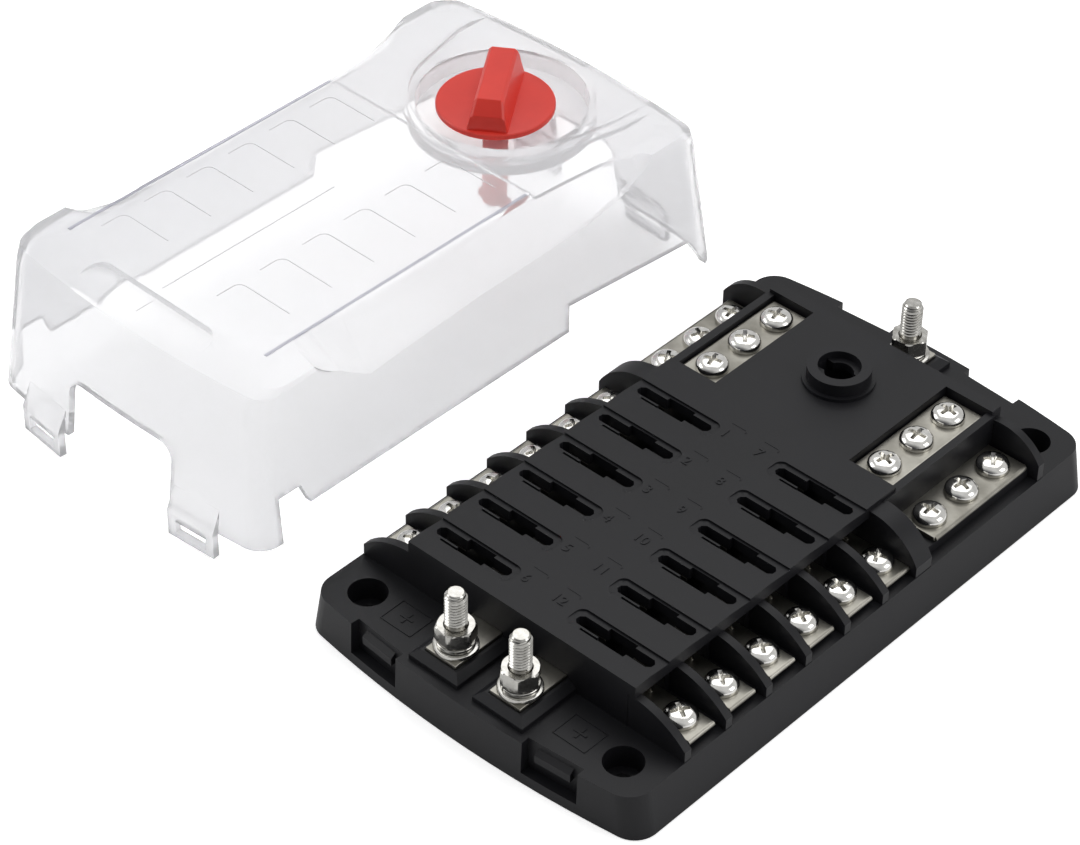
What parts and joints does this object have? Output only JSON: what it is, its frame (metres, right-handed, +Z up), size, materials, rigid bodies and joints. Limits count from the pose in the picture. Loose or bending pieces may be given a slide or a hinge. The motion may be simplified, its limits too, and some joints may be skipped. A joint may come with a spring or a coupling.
{
  "type": "car fuse holder",
  "caption": "Low black base with slots for blade fuses, screw terminals between ribs, threaded supply studs and a negative bus, beside its loose clear cover with a red locking knob.",
  "frame": {"origin": "centre of the four mounting holes, on the underside of the base", "axes": "+Z up out of the mounting surface, +Y along the base towards the single negative stud, +X to the right seen from the front with the two positive studs nearest"},
  "size_m": [0.2032, 0.1639, 0.0537],
  "materials": {
    "housing_plastic": "fine satin moulding",
    "plated_sheet": "bright plated sheet",
    "plated_screws": "bright plated",
    "stud_steel": "bright plated",
    "clear_plastic": "clear moulding",
    "knob_plastic": "satin red"
  },
  "bodies": {
    "base": {"base_housing": "housing_plastic", "negative_bus": "plated_sheet", "positive_bus_left": "plated_sheet", "positive_bus_right": "plated_sheet", "output_terminal_1": "plated_sheet", "output_terminal_2": "plated_sheet", "output_terminal_3": "plated_sheet", "output_terminal_4": "plated_sheet", "output_terminal_5": "plated_sheet", "output_terminal_6": "plated_sheet", "output_terminal_7": "plated_sheet", "output_terminal_8": "plated_sheet", "output_terminal_9": "plated_sheet", "output_terminal_10": "plated_sheet", "output_terminal_11": "plated_sheet", "output_terminal_12": "plated_sheet", "output_screw_1": "plated_screws", "output_screw_2": "plated_screws", "output_screw_3": "plated_screws", "output_screw_4": "plated_screws", "output_screw_5": "plated_screws", "output_screw_6": "plated_screws", "output_screw_7": "plated_screws", "output_screw_8": "plated_screws", "output_screw_9": "plated_screws", "output_screw_10": "plated_screws", "output_screw_11": "plated_screws", "output_screw_12": "plated_screws", "ground_screw_1": "plated_screws", "ground_screw_2": "plated_screws", "ground_screw_3": "plated_screws", "ground_screw_4": "plated_screws", "ground_screw_5": "plated_screws", "ground_screw_6": "plated_screws", "ground_screw_7": "plated_screws", "ground_screw_8": "plated_screws", "ground_screw_9": "plated_screws", "ground_screw_10": "plated_screws", "ground_screw_11": "plated_screws", "ground_screw_12": "plated_screws", "stud_positive_left": "stud_steel", "flat_washer_positive_left": "stud_steel", "spring_washer_positive_left": "stud_steel", "nut_positive_left": "stud_steel", "stud_positive_right": "stud_steel", "flat_washer_positive_right": "stud_steel", "spring_washer_positive_right": "stud_steel", "nut_positive_right": "stud_steel", "stud_negative": "stud_steel", "flat_washer_negative": "stud_steel", "spring_washer_negative": "stud_steel", "nut_negative": "stud_steel"},
    "cover": {"clear_cover": "clear_plastic"},
    "knob": {"locking_knob": "knob_plastic"}
  },
  "joints": [
    {"name": "cover_lift", "type": "slide", "parent": "base", "child": "cover", "axis": [0, 0, 1], "range_m": [0, 0.08]},
    {"name": "knob_turn", "type": "hinge", "parent": "cover", "child": "knob", "pos_m": [-0.10853, 0.0465, 0.044], "axis": [0, 0, 1], "range_deg": [-90, 0]}
  ]
}
